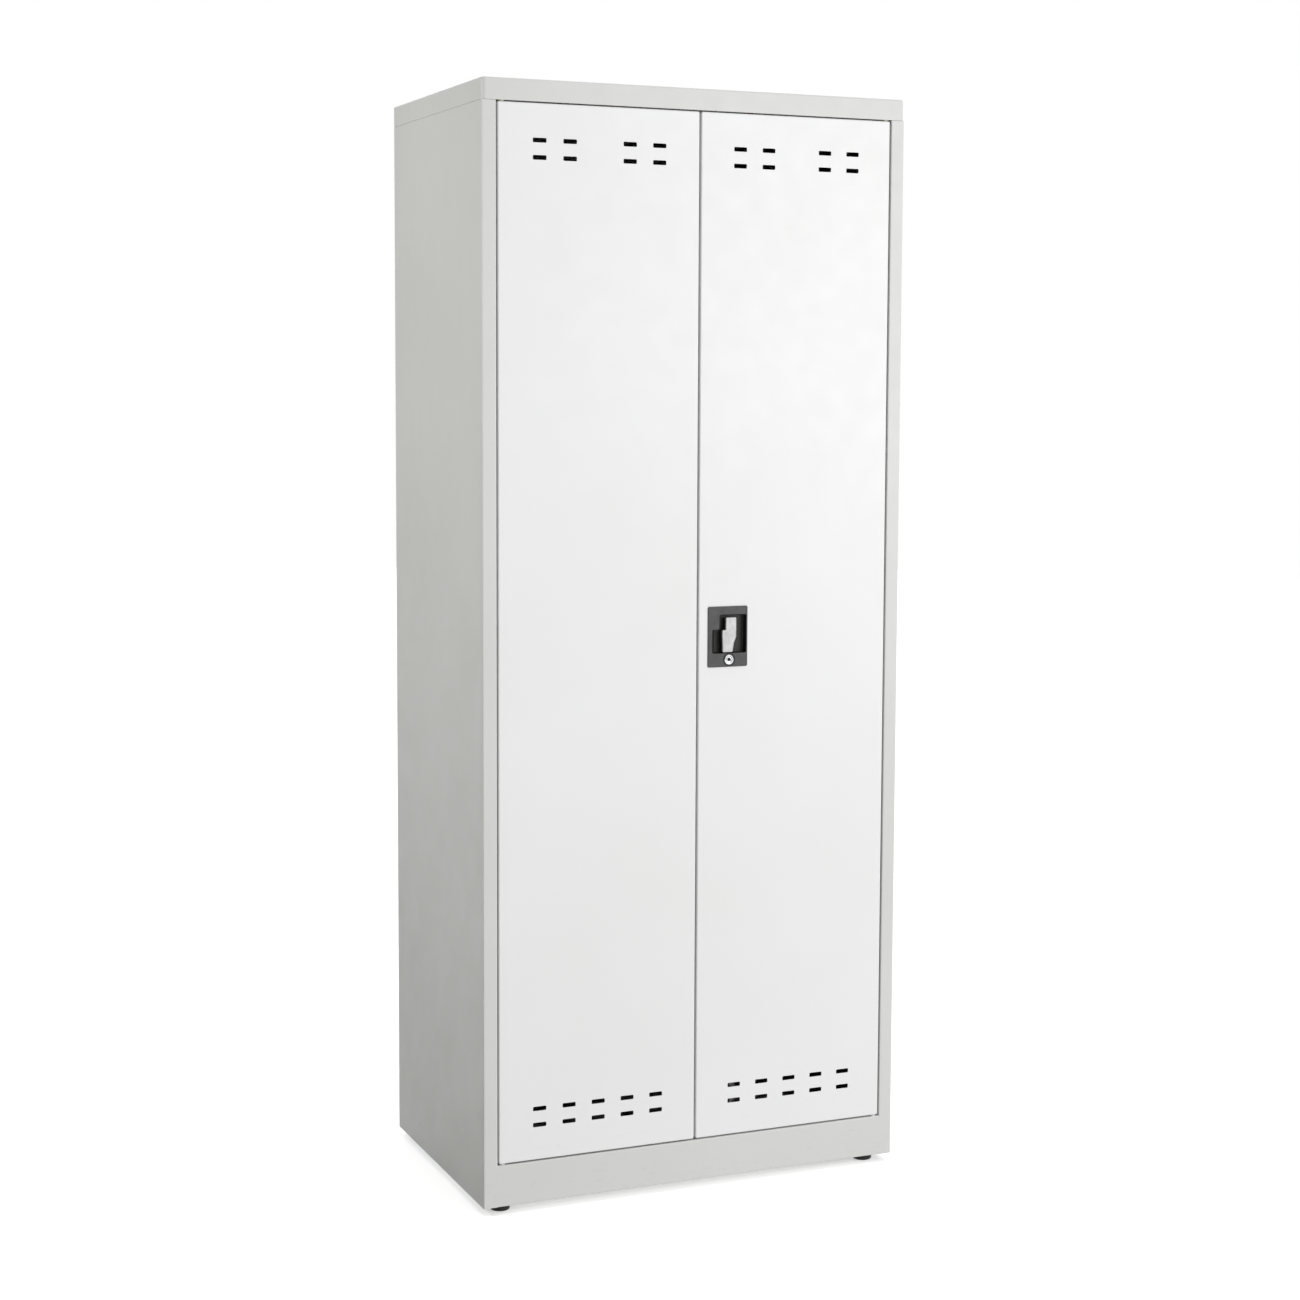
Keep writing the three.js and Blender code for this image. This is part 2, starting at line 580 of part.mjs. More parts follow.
// A flat locking rod with rack teeth; it lies at x, and its teeth face the pinion
function lockingRod(x, z0, z1) {
  const { teeth, pitchR, addendum, pressure, backlash } = GEAR;
  const pitch = (2 * Math.PI * pitchR) / teeth;
  const towards = Math.sign(AXIS_X - x);
  const [rootX, tipX] = [x + (towards * ROD.width) / 2, AXIS_X - towards * (pitchR - addendum)];
  const slope = Math.tan(THREE.MathUtils.degToRad(pressure));
  const halfAt = (u) => pitch / 4 - backlash / 2 + (pitchR - Math.abs(AXIS_X - u)) * -slope;
  const tooth = (z) => {
    const corners = [
      [rootX - towards * 0.3, z - halfAt(rootX)],
      [tipX, z - halfAt(tipX)],
      [tipX, z + halfAt(tipX)],
      [rootX - towards * 0.3, z + halfAt(rootX)],
    ];
    return prism(towards > 0 ? corners : corners.reverse(), "y", ROD.y0, ROD.y1);
  };
  const travelTeeth = Math.ceil((HANDLE_TURN / 360) * teeth);
  const first = towards > 0 ? -travelTeeth - 2 : -2; // the rack runs on the way the rod comes from
  const rack = Array.from({ length: travelTeeth + 4 }, (_, i) => tooth(HANDLE_Z + (first + i + 0.5) * pitch));
  return joined(box([x - ROD.width / 2, ROD.y0, z0], [x + ROD.width / 2, ROD.y1, z1]), ...rack);
}

// A pan over the pinion and the lock, open where the rods leave it
function lockCase() {
  const { x0, x1, z0, z1, y1 } = CASE;
  const y0 = DOOR_FACE_Y + SHEET + FIT;
  const gap = ROD.width / 2 + 1;
  const way = (x, z) => box([x - gap, ROD.y0 - 1, z - 3], [x + gap, ROD.y1 + 1, z + 3]);
  return cut(
    box([x0, y0, z0], [x1, y1, z1]),
    box([x0 + SHEET, y0 - 1, z0 + SHEET], [x1 - SHEET, y1 - SHEET, z1 - SHEET]),
    way(UPPER_ROD_X, z1),
    way(LOWER_ROD_X, z0),
  );
}

// The chrome ring and sleeve of the key lock
function lockBarrel() {
  const front = PLATE.y - BARREL.proud;
  const end = DISC.y0 - FIT;
  return cut(
    joined(
      cylinder(0, 0, BARREL.ringR, "y", front, PLATE.y - 0.25, 32),
      cylinder(0, 0, BARREL.r, "y", front + 0.1, end, 24),
    ),
    cylinder(0, 0, PLUG_R + FIT, "y", front - 1, end + 1, 24),
  );
}

function lockPlug() {
  const front = PLATE.y - BARREL.proud + 0.15;
  const end = DISC.y0 - FIT;
  return cut(
    joined(cylinder(0, 0, PLUG_R, "y", front, end, 24), square(CAM.square, end - 0.5, DISC.y1 + 2.6)),
    box([-0.7, front - 1, -3.2], [0.7, front + 8, 3.2]),
  );
}

// The cam points sideways when unlocked and turns up into the disc's notch
function lockCam() {
  const { reach, halfWidth, eyeR } = CAM;
  const outline = [...arc(0, 0, eyeR, 40, 320, 12), [reach, -halfWidth], [reach, halfWidth]];
  return cut(prism(outline, "y", DISC.y0, DISC.y1), square(CAM.square + 2 * FIT, DISC.y0 - 1, DISC.y1 + 1));
}

function lockNut() {
  const [y0, y1] = [DISC.y1 + FIT, DISC.y1 + FIT + 2];
  return cut(cylinder(0, 0, 6, "y", y0, y1, 6), square(CAM.square + 2 * FIT, y0 - 1, y1 + 1));
}

// ---- Assembly ----

const locker = new THREE.Group();

add(locker, "top_cap", topCap(), "grey");
add(locker, "header_rail", headerRail(), "grey");
add(locker, "plinth", plinth(), "grey");
add(locker, "floor_panel", floorPanel(), "grey");
add(locker, "back_panel", backPanel(), "grey");
add(locker, "hat_shelf", shelf(), "grey", [0, 0, HAT_SHELF_Z]);
add(locker, "lower_shelf", shelf(), "grey", [0, 0, LOWER_SHELF_Z]);
add(locker, "coat_rail", coatRail(), "zinc");

const leaves = { left: groupAt(locker, 0, 0, 0), right: groupAt(locker, 0, 0, 0) };
const ledgeUnder = (shelfZ) => shelfZ - SHELF.drop - FIT;

for (const side of ["left", "right"]) {
  const flip = side === "left" ? (solid) => solid : mirrored;
  const sign = side === "left" ? -1 : 1;
  add(locker, `${side}_side_panel`, flip(sidePanel()), "grey");
  add(locker, `${side}_base_rail`, flip(baseRail()), "zinc");
  add(locker, `${side}_rail_bracket`, flip(railBracket()), "zinc");
  ["front", "rear"].forEach((end, i) => {
    const y = i === 0 ? -UPRIGHT.y : UPRIGHT.y;
    add(locker, `${side}_${end}_upright`, flip(upright()), "zinc", [0, y, 0]);
    add(locker, `${side}_${end}_hat_clip`, flip(shelfClip()), "zinc", [0, y, ledgeUnder(HAT_SHELF_Z)]);
    add(locker, `${side}_${end}_shelf_clip`, flip(shelfClip()), "zinc", [0, y, ledgeUnder(LOWER_SHELF_Z)]);
    add(locker, `${side}_${end}_foot`, foot(), "black", [sign * FOOT.x, FOOT_Y[i], 0]);
  });
  const upperPinZ = DOOR_TOP - SHEET - FIT;
  const lowerPinZ = DOOR_BOTTOM + SHEET + FIT;
  const pivot = [sign * PIVOT_X, PIVOT_Y];
  add(leaves[side], `${side}_upper_pin`, pivotPin(1), "zinc", [...pivot, upperPinZ]);
  add(leaves[side], `${side}_lower_pin`, pivotPin(-1), "zinc", [...pivot, lowerPinZ]);
  add(locker, `${side}_upper_bush`, pivotBush(1), "nylon", [...pivot, HEADER_Z]);
  add(locker, `${side}_lower_bush`, pivotBush(-1), "nylon", [...pivot, PLINTH_TOP]);
  add(leaves[side], `${side}_door_stiffener`, stiffener(), "white", [sign * DOOR_MID_X, 0, 0]);
}

add(leaves.left, "left_door", leftDoor(), "white");
for (const [end, up] of [["upper", 1], ["lower", -1]]) {
  const doorEnd = up > 0 ? DOOR_TOP : DOOR_BOTTOM;
  add(leaves.left, `${end}_bolt`, slideBolt(up), "zinc", [BOLT.x, 0, doorEnd + up * ROD.tip]);
  add(leaves.left, `${end}_bolt_strap`, strap(BOLT.width), "zinc", [BOLT.x, 0, doorEnd - up * BOLT.strap]);
}

add(leaves.right, "right_door", rightDoor(), "white");
add(leaves.right, "handle_housing", handleHousing(), "black");
add(leaves.right, "lock_case", lockCase(), "zinc");
const upperRod = lockingRod(UPPER_ROD_X, HANDLE_Z - ROD.overrun, DOOR_TOP + ROD.tip);
const lowerRod = lockingRod(LOWER_ROD_X, DOOR_BOTTOM - ROD.tip, HANDLE_Z + ROD.overrun);
add(leaves.right, "upper_rod", upperRod, "zinc");
add(leaves.right, "lower_rod", lowerRod, "zinc");
add(leaves.right, "upper_rod_strap", strap(ROD.width), "zinc", [UPPER_ROD_X, 0, DOOR_TOP - ROD.strap - 12]);
add(leaves.right, "lower_rod_strap", strap(ROD.width), "zinc", [LOWER_ROD_X, 0, DOOR_BOTTOM + ROD.strap]);

const handle = groupAt(leaves.right, AXIS_X, 0, HANDLE_Z);
add(handle, "handle_lever", handleLever(), "silver");
add(handle, "drive_pinion", drivePinion(), "zinc");
add(handle, "lock_disc", lockDisc(), "zinc");

const lock = groupAt(leaves.right, AXIS_X, 0, LOCK_Z);
add(lock, "lock_barrel", lockBarrel(), "silver");
add(lock, "lock_plug", lockPlug(), "silver");
add(lock, "lock_cam", lockCam(), "zinc");
add(lock, "lock_nut", lockNut(), "zinc");

export default locker;
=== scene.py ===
import json
import math

import bmesh
import bpy
from mathutils import Matrix, Vector

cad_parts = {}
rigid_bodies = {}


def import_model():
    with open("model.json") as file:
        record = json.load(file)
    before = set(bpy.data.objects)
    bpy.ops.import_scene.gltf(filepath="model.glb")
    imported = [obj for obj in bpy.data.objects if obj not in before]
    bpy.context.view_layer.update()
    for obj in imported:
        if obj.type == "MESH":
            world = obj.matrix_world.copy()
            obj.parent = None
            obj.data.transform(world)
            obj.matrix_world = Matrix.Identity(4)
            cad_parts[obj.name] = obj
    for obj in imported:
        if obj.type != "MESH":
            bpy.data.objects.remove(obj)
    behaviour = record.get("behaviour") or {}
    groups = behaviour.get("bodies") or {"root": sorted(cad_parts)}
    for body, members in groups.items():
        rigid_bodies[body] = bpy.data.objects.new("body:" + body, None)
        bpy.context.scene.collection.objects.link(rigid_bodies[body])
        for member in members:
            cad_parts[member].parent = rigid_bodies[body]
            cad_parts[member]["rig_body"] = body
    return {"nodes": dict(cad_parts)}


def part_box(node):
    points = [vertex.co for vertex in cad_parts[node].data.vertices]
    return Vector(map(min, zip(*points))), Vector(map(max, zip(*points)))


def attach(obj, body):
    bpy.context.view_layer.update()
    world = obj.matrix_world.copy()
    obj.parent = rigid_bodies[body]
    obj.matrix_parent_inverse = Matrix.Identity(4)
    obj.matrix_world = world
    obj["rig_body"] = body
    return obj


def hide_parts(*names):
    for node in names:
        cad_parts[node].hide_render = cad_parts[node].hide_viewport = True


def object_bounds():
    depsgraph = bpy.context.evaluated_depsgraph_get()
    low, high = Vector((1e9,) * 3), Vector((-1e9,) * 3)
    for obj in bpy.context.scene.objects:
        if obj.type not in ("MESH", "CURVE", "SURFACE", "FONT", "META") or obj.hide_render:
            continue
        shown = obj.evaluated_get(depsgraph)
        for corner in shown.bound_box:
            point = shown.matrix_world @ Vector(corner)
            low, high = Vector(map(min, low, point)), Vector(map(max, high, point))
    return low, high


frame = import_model()
CAD_LOW, CAD_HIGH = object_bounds()
MM = 0.001

# Driving sizes, in metres. The pieces' places and outer sizes come from the CAD boxes
SHEET = 1 * MM
BEND, BEND_STEPS = 1.6 * MM, 6  # bend radius at the middle of the sheet
FIT = 0.3 * MM  # play between neighbouring pieces
DOOR_CORNER, DOOR_ROLL, DOOR_BACK_ROLL, DOOR_LIP = 3 * MM, 2.6 * MM, 1.3 * MM, 12 * MM
CAP_FRONT_CORNER, CAP_REAR_CORNER, CAP_ROLL = 7.5 * MM, 2.4 * MM, 3 * MM
SLOT_LENGTH, SLOT_HEIGHT, SLOT_CORNER, SLOT_PITCH = 24.6 * MM, 7.8 * MM, 1.7 * MM, 55 * MM
SLOT_ROWS_TOP = (61.8 * MM, 90.6 * MM)  # below the door's top
SLOT_ROWS_BOTTOM = (91 * MM, 62.2 * MM)  # above the door's bottom
PIN_HOLE_R, BUSH_HOLE_R = 2.8 * MM, 4 * MM
BAR_Y = (-232.5 * MM, -229.5 * MM)  # front and rear faces of the locking rods and slide bolts
ROD_WIDTH = 10 * MM
TONGUE_HALF = 188 * MM  # half the length of the side panels' tongues
RIVETS, RIVET_LINE = 9, 13 * MM  # rivets in a row, and the row's distance from the locker's side
RIVET_ENDS = (60 * MM, 90 * MM)  # first rivet above the back panel's bottom, last one below its top
# From the handle plate's edges to its recess, and to the part of the housing behind the plate
POCKET_BORDER = {"left": 8.3 * MM, "right": 2.8 * MM, "bottom": 24.5 * MM, "top": 15 * MM}
BODY_BORDER = {"left": 6.8 * MM, "right": 1.2 * MM, "bottom": 1.8 * MM, "top": 11.8 * MM}
PLATE_CORNER, BODY_CORNER = 3 * MM, 2 * MM
POCKET_DEPTH, POCKET_CORNER = 12.5 * MM, 3 * MM
STOP_BLOCK = (22 * MM, 41 * MM)  # width from the plate's left edge, height from its top
LOCK_SEAT = (9.8 * MM, 12 * MM, 1.3 * MM)  # radius at its floor and at the plate's face, and depth
HUB_R, BARREL_R, PLUG_R = 6 * MM, 7.2 * MM, 5.6 * MM
AXIS_R = 0.02 * MM  # stands for a point on the axis of a turned piece
FLOOR_R = 14


def srgb(red, green, blue):
    """A colour given as screen values from 0 to 255, in linear light."""
    linear = [((c / 255 + 0.055) / 1.055) ** 2.4 if c > 10 else c / 255 / 12.92 for c in (red, green, blue)]
    return (*linear, 1)


# ---- Materials ----


def material(name):
    made = bpy.data.materials.new(name)
    made.use_nodes = True
    tree = made.node_tree
    tree.nodes.clear()
    shader = tree.nodes.new("ShaderNodeBsdfPrincipled")
    tree.links.new(shader.outputs[0], tree.nodes.new("ShaderNodeOutputMaterial").inputs[0])
    return made, tree, shader


def node(tree, kind, settings=(), **inputs):
    """A node with its settings, and each input set to a value or linked to a socket."""
    made = tree.nodes.new(kind)
    for key, value in dict(settings).items():
        setattr(made, key, value)
    for key, value in inputs.items():
        socket = made.inputs[int(key[1:]) if key[0] == "i" and key[1:].isdigit() else key]
        if isinstance(value, bpy.types.NodeSocket):
            tree.links.new(value, socket)
        else:
            socket.default_value = value
    return made


def spot(tree, stretch=(1, 1, 1)):
    """Places on the piece itself, in metres, so that a pattern moves with the piece."""
    place = node(tree, "ShaderNodeTexCoord").outputs["Object"]
    return node(tree, "ShaderNodeMapping", Vector=place, Scale=stretch).outputs[0]


def feed(tree, shader, name, source):
    tree.links.new(source, shader.inputs[name])


def noise(tree, place, scale, detail, roughness=0.5):
    made = node(tree, "ShaderNodeTexNoise", Vector=place, Scale=scale, Detail=detail, Roughness=roughness)
    return made.outputs[0]


def ranged(tree, value, low, high, out_low, out_high):
    made = node(tree, "ShaderNodeMapRange", Value=value)
    for socket, number in zip(made.inputs[1:5], (low, high, out_low, out_high)):
        socket.default_value = number
    return made.outputs[0]


def calc(tree, operation, a, b):
    return node(tree, "ShaderNodeMath", {"operation": operation}, i0=a, i1=b).outputs[0]


def ramp(tree, value, *stops):
    made = node(tree, "ShaderNodeValToRGB", Fac=value)
    elements = made.color_ramp.elements
    while len(elements) < len(stops):
        elements.new(0.5)
    for element, (at, colour) in zip(elements, stops):
        element.position, element.color = at, colour
    return made.outputs[0]


def mixed(tree, share, a, b):
    made = node(tree, "ShaderNodeMix", {"data_type": "RGBA"})
    for index, value in ((0, share), (6, a), (7, b)):
        if isinstance(value, bpy.types.NodeSocket):
            tree.links.new(value, made.inputs[index])
        else:
            made.inputs[index].default_value = value
    return made.outputs[2]


def bumps(tree, shader, *layers):
    """Bumps on one another; a layer is its height, how far it stands out in metres and its strength."""
    normal = None
    for height, distance, strength in layers:
        made = node(tree, "ShaderNodeBump", Height=height, Distance=distance, Strength=strength)
        if normal:
            tree.links.new(normal, made.inputs["Normal"])
        normal = made.outputs[0]
    feed(tree, shader, "Normal", normal)


def edges(tree, radius):
    """1 along the piece's outer and inner edges, 0 on its flats."""
    rounded_normal = node(tree, "ShaderNodeBevel", {"samples": 4}, Radius=radius).outputs[0]
    true_normal = node(tree, "ShaderNodeNewGeometry").outputs["Normal"]
    same = node(
        tree, "ShaderNodeVectorMath", {"operation": "DOT_PRODUCT"}, i0=rounded_normal, i1=true_normal
    ).outputs["Value"]
    return ranged(tree, calc(tree, "SUBTRACT", 1.0, same), 0.02, 0.25, 0, 1)


def powder_coat(name, light, dark, worn):
    """Baked powder paint: fine orange peel, slightly wavy sheet, rubbed edges, scuffs near the floor."""
    made, tree, shader = material(name)
    place = spot(tree)
    tone = ramp(tree, noise(tree, place, 2.4, 3), (0.3, dark), (0.7, light))
    speckle = ranged(tree, noise(tree, place, 900, 1), 0.3, 0.7, 0, 0.1)
    tone = mixed(tree, speckle, tone, dark)
    patches = ranged(tree, noise(tree, place, 45, 4), 0.45, 0.7, 0.15, 0.8)
    tone = mixed(tree, calc(tree, "MULTIPLY", edges(tree, 1.6 * MM), patches), tone, worn)
    height = node(tree, "ShaderNodeSeparateXYZ", Vector=place).outputs[2]
    low_down = ranged(tree, height, 0.02, 0.16, 1, 0)
    scuffs = ranged(tree, noise(tree, spot(tree, (1, 1, 3)), 38, 5, 0.65), 0.6, 0.72, 0, 0.35)
    scuffs = calc(tree, "MULTIPLY", scuffs, low_down)
    feed(tree, shader, "Base Color", mixed(tree, scuffs, tone, worn))
    rough = ranged(tree, noise(tree, place, 24, 3), 0.3, 0.7, 0.36, 0.46)
    feed(tree, shader, "Roughness", calc(tree, "ADD", rough, calc(tree, "MULTIPLY", scuffs, 0.4)))
    shader.inputs["Specular IOR Level"].default_value = 0.45
    waves, peel = noise(tree, place, 3.2, 1), noise(tree, place, 640, 2)
    bumps(tree, shader, (waves, 4 * MM, 0.1), (peel, 0.05 * MM, 0.45))
    return made


def moulded_black(name, dark, light, touch, gloss):
    """Glass-filled black plastic: sparked grain, edges polished by hands."""
    made, tree, shader = material(name)
    place = spot(tree)
    tone = ramp(tree, noise(tree, place, 60, 3), (0.3, dark), (0.7, light))
    touched = calc(tree, "MULTIPLY", edges(tree, 0.9 * MM), 0.6)
    feed(tree, shader, "Base Color", mixed(tree, touched, tone, touch))
    shader.inputs["Specular IOR Level"].default_value = gloss
    grain = noise(tree, place, 1500, 3, 0.6)
    rough = ranged(tree, grain, 0.3, 0.7, 0.38, 0.56)
    feed(tree, shader, "Roughness", calc(tree, "SUBTRACT", rough, calc(tree, "MULTIPLY", touched, 0.2)))
    bumps(tree, shader, (grain, 0.12 * MM, 0.5), (noise(tree, place, 90, 2), 0.4 * MM, 0.12))
    return made


def die_cast_zinc(name):
    """Satin plated die casting: soft pitting and faint polishing lines along its length."""
    made, tree, shader = material(name)
    place, drawn = spot(tree), spot(tree, (1, 1, 0.06))
    tone = ramp(tree, noise(tree, place, 70, 3), (0.3, srgb(156, 156, 156)), (0.7, srgb(182, 182, 182)))
    lines = noise(tree, drawn, 1100, 2)
    streaks = ranged(tree, lines, 0.35, 0.7, 0, 0.4)
    feed(tree, shader, "Base Color", mixed(tree, streaks, tone, srgb(128, 128, 129)))
    shader.inputs["Metallic"].default_value = 0.6
    worn = calc(tree, "MULTIPLY", edges(tree, 1 * MM), 0.14)
    rough = ranged(tree, lines, 0.3, 0.7, 0.3, 0.44)
    feed(tree, shader, "Roughness", calc(tree, "SUBTRACT", rough, worn))
    bumps(tree, shader, (noise(tree, place, 420, 2), 0.08 * MM, 0.3), (lines, 0.03 * MM, 0.4))
    return made


def chrome_plate(name):
    """Bright nickel-chrome with hairline scratches from keys."""
    made, tree, shader = material(name)
    place, fine = spot(tree), spot(tree, (1, 1, 0.12))
    tone = ramp(tree, noise(tree, place, 160, 2), (0.3, srgb(202, 203, 206)), (0.7, srgb(220, 221, 223)))
    feed(tree, shader, "Base Color", tone)
    shader.inputs["Metallic"].default_value = 1
    feed(tree, shader, "Roughness", ranged(tree, noise(tree, fine, 2600, 3, 0.7), 0.58, 0.7, 0.09, 0.3))
    bumps(tree, shader, (noise(tree, place, 300, 2), 0.02 * MM, 0.25))
    return made


def zinc_plate(name):
    """Zinc-plated steel: mottled passivation, drawing lines, dull edges."""
    made, tree, shader = material(name)
    place, drawn = spot(tree), spot(tree, (1, 1, 0.04))
    cells = node(tree, "ShaderNodeTexVoronoi", Vector=place, Scale=170.0).outputs["Color"]
    grey = node(tree, "ShaderNodeSeparateColor", Color=cells).outputs[0]
    clouds = calc(tree, "MULTIPLY", noise(tree, place, 30, 4), 0.65)
    blend = calc(tree, "ADD", calc(tree, "MULTIPLY", grey, 0.35), clouds)
    greys = (0.25, srgb(158, 161, 165)), (0.55, srgb(184, 186, 187)), (0.8, srgb(203, 201, 192))
    dull = calc(tree, "MULTIPLY", edges(tree, 0.8 * MM), 0.5)
    feed(tree, shader, "Base Color", mixed(tree, dull, ramp(tree, blend, *greys), srgb(140, 141, 143)))
    shader.inputs["Metallic"].default_value = 0.92
    lines = noise(tree, drawn, 900, 2)
    feed(tree, shader, "Roughness", ranged(tree, calc(tree, "ADD", lines, grey), 0.5, 1.4, 0.3, 0.48))
    bumps(tree, shader, (lines, 0.04 * MM, 0.4), (noise(tree, place, 260, 2), 0.05 * MM, 0.25))
    return made


def natural_nylon(name):
    """Off-white nylon, slightly waxy, with grease dust at its edges."""
    made, tree, shader = material(name)
    place = spot(tree)
    tone = ramp(tree, noise(tree, place, 120, 3), (0.3, srgb(214, 210, 196)), (0.7, srgb(231, 229, 219)))
    dusty = calc(tree, "MULTIPLY", edges(tree, 0.6 * MM), 0.45)
    feed(tree, shader, "Base Color", mixed(tree, dusty, tone, srgb(150, 146, 134)))
    feed(tree, shader, "Roughness", ranged(tree, noise(tree, place, 300, 2), 0.3, 0.7, 0.42, 0.6))
    shader.inputs["Subsurface Weight"].default_value = 0.12
    shader.inputs["Subsurface Radius"].default_value = (0.002, 0.002, 0.0015)
    bumps(tree, shader, (noise(tree, place, 800, 2), 0.04 * MM, 0.4))
    return made


LOOKS = {
    "grey_paint": powder_coat(
        "grey_powder_coat", light=srgb(211, 211, 209), dark=srgb(205, 206, 203), worn=srgb(186, 186, 182)
    ),
    "white_paint": powder_coat(
        "white_powder_coat", light=srgb(233, 233, 234), dark=srgb(229, 229, 229), worn=srgb(204, 204, 202)
    ),
    "black_plastic": moulded_black(
        "moulded_black_plastic",
        dark=srgb(46, 46, 47), light=srgb(62, 62, 63), touch=srgb(94, 94, 94), gloss=0.5,
    ),
    "satin_zinc": die_cast_zinc("satin_die_cast_zinc"),
    "chrome": chrome_plate("bright_chrome"),
    "zinc_steel": zinc_plate("zinc_plated_steel"),
    "nylon": natural_nylon("natural_nylon"),
}
# Darker black: the feet's own black plastic, and painted shade on the handle recess, the lock seat and the
# lock plug's keyway
BLACK_AND_PAINTED_SHADE = moulded_black(
    "black_plastic_and_painted_shade", dark=srgb(26, 26, 24), light=srgb(39, 39, 36), touch=srgb(64, 64, 60), gloss=0.3
)


# ---- Outlines: lists of 2-D points that run anticlockwise ----


def rect(low, high, inset=0.0):
    (a0, b0), (a1, b1), d = low, high, inset
    return [(a0 + d, b0 + d), (a1 - d, b0 + d), (a1 - d, b1 - d), (a0 + d, b1 - d)]


def rounded(corners, radius, steps=5):
    """The outline with each corner rounded; radius is one number, or one for each corner."""
    points = [Vector(c) for c in corners]
    radii = radius if isinstance(radius, (list, tuple)) else [radius] * len(points)
    made = []
    for i, (p, r) in enumerate(zip(points, radii)):
        a, b = (points[i - 1] - p).normalized(), (points[(i + 1) % len(points)] - p).normalized()
        half = math.acos(a.dot(b)) / 2
        centre = p + (a + b).normalized() * (r / math.sin(half))
        start, end = p + a * (r / math.tan(half)) - centre, p + b * (r / math.tan(half)) - centre
        turn = math.atan2(start.cross(end), start.dot(end))
        made += [centre + Matrix.Rotation(turn * k / steps, 2) @ start for k in range(steps + 1)]
    return made


def inset(outline, distance):
    """The outline moved inwards, point by point."""
    made = []
    for i, p in enumerate(outline):
        a, b = (p - outline[i - 1]).normalized(), (outline[(i + 1) % len(outline)] - p).normalized()
        na, nb = Vector((-a.y, a.x)), Vector((-b.y, b.x))
        made.append(p + (na + nb) * (distance / (1 + na.dot(nb))))
    return made


def circle(a, b, radius, sides=48):
    turns = [2 * math.pi * i / sides for i in range(sides)]
    return [Vector((a + radius * math.cos(t), b + radius * math.sin(t))) for t in turns]


def folded(path):
    """The outline of a sheet whose middle line runs through the points, with square, rounded bends."""
    points = [Vector(p) for p in path]
    left, right = [], []
    for i, p in enumerate(points):
        into = (p - points[i - 1]).normalized() if i else None
        out = (points[i + 1] - p).normalized() if i < len(points) - 1 else None
        if into is None or out is None:
            along = into or out
            side = Vector((-along.y, along.x)) * (SHEET / 2)
            left.append(p + side)
            right.append(p - side)
            continue
        turn = 1 if into.cross(out) > 0 else -1
        centre = p + (out - into) * BEND
        for k in range(BEND_STEPS + 1):
            spoke = Matrix.Rotation(turn * math.pi / 2 * k / BEND_STEPS, 2) @ Vector((into.y, -into.x)) * turn
            left.append(centre + spoke * (BEND - turn * SHEET / 2))
            right.append(centre + spoke * (BEND + turn * SHEET / 2))
    return right + left[::-1]


# ---- Solids ----

LAY = {
    "x": lambda a, b, depth: (depth, a, b),
    "y": lambda a, b, depth: (a, depth, b),
    "z": lambda a, b, depth: (a, b, depth),
}


def ring(outline, plane, depth):
    return [LAY[plane](p[0], p[1], depth) for p in outline]


def loft(solid, rings):
    """A closed skin through rings that have the same number of points."""
    rows = [[solid.verts.new(p) for p in points] for points in rings]
    for low, high in zip(rows, rows[1:]):
        for i in range(len(low)):
            solid.faces.new((low[i - 1], low[i], high[i], high[i - 1]))
    solid.faces.new(rows[0])
    solid.faces.new(rows[-1])
    return solid


def rolled(shape, plane, face, into, radius, steps=4):
    """Rings that roll from a flat face round to the sides; shape(d) is the outline inset by d."""
    turns = [math.pi / 2 * k / steps for k in range(steps + 1)]
    return [
        ring(shape(radius * (1 - math.sin(t))), plane, face + into * radius * (1 - math.cos(t)))
        for t in turns
    ]


def prism(solid, outline, plane, start, end):
    return loft(solid, [ring(outline, plane, start), ring(outline, plane, end)])


def block(solid, low, high):
    return prism(solid, rect(low[:2], high[:2]), "z", low[2], high[2])


def turned(solid, profile, centre, plane, sides=48):
    """A piece turned about an axis through centre; profile points are (radius, depth)."""
    return loft(solid, [ring(circle(*centre, max(r, AXIS_R), sides), plane, depth) for r, depth in profile])


def turned_tube(section, centre, plane, sides):
    """A tube turned about an axis through centre; the section's points run round its wall."""
    solid = bmesh.new()
    rings = [ring(circle(*centre, r, sides), plane, depth) for r, depth in section]
    rows = [[solid.verts.new(p) for p in points] for points in rings]
    for a, b in zip(rows, rows[1:] + rows[:1]):
        for i in range(sides):
            solid.faces.new((a[i - 1], a[i], b[i], b[i - 1]))
    return solid


def scratch(solid):
    """A solid as an object of its own, for a moment."""
    bmesh.ops.recalc_face_normals(solid, faces=solid.faces)
    mesh = bpy.data.meshes.new("scratch")
    solid.to_mesh(mesh)
    solid.free()
    made = bpy.data.objects.new("scratch", mesh)
    bpy.context.scene.collection.objects.link(made)
    return made


def carved(solid, *cutters):
    """The solid less each cutter."""
    target, tools = scratch(solid), [scratch(c) for c in cutters]
    for tool in tools:
        modifier = target.modifiers.new("cut", "BOOLEAN")
        modifier.operation, modifier.solver, modifier.object = "DIFFERENCE", "EXACT", tool
    made = bmesh.new()
    made.from_object(target, bpy.context.evaluated_depsgraph_get())
    for used in [target, *tools]:
        mesh = used.data
        bpy.data.objects.remove(used)
        bpy.data.meshes.remove(mesh)
    return made


def soften(obj, width):
    """Small rounded edges, with the flats kept flat in the shading."""
    bevel = obj.modifiers.new("soft_edges", "BEVEL")
    bevel.width, bevel.segments, bevel.miter_outer = width, 2, "MITER_ARC"
    bevel.limit_method, bevel.angle_limit = "ANGLE", math.radians(40)
    normals = obj.modifiers.new("flat_faces", "WEIGHTED_NORMAL")
    normals.keep_sharp = False


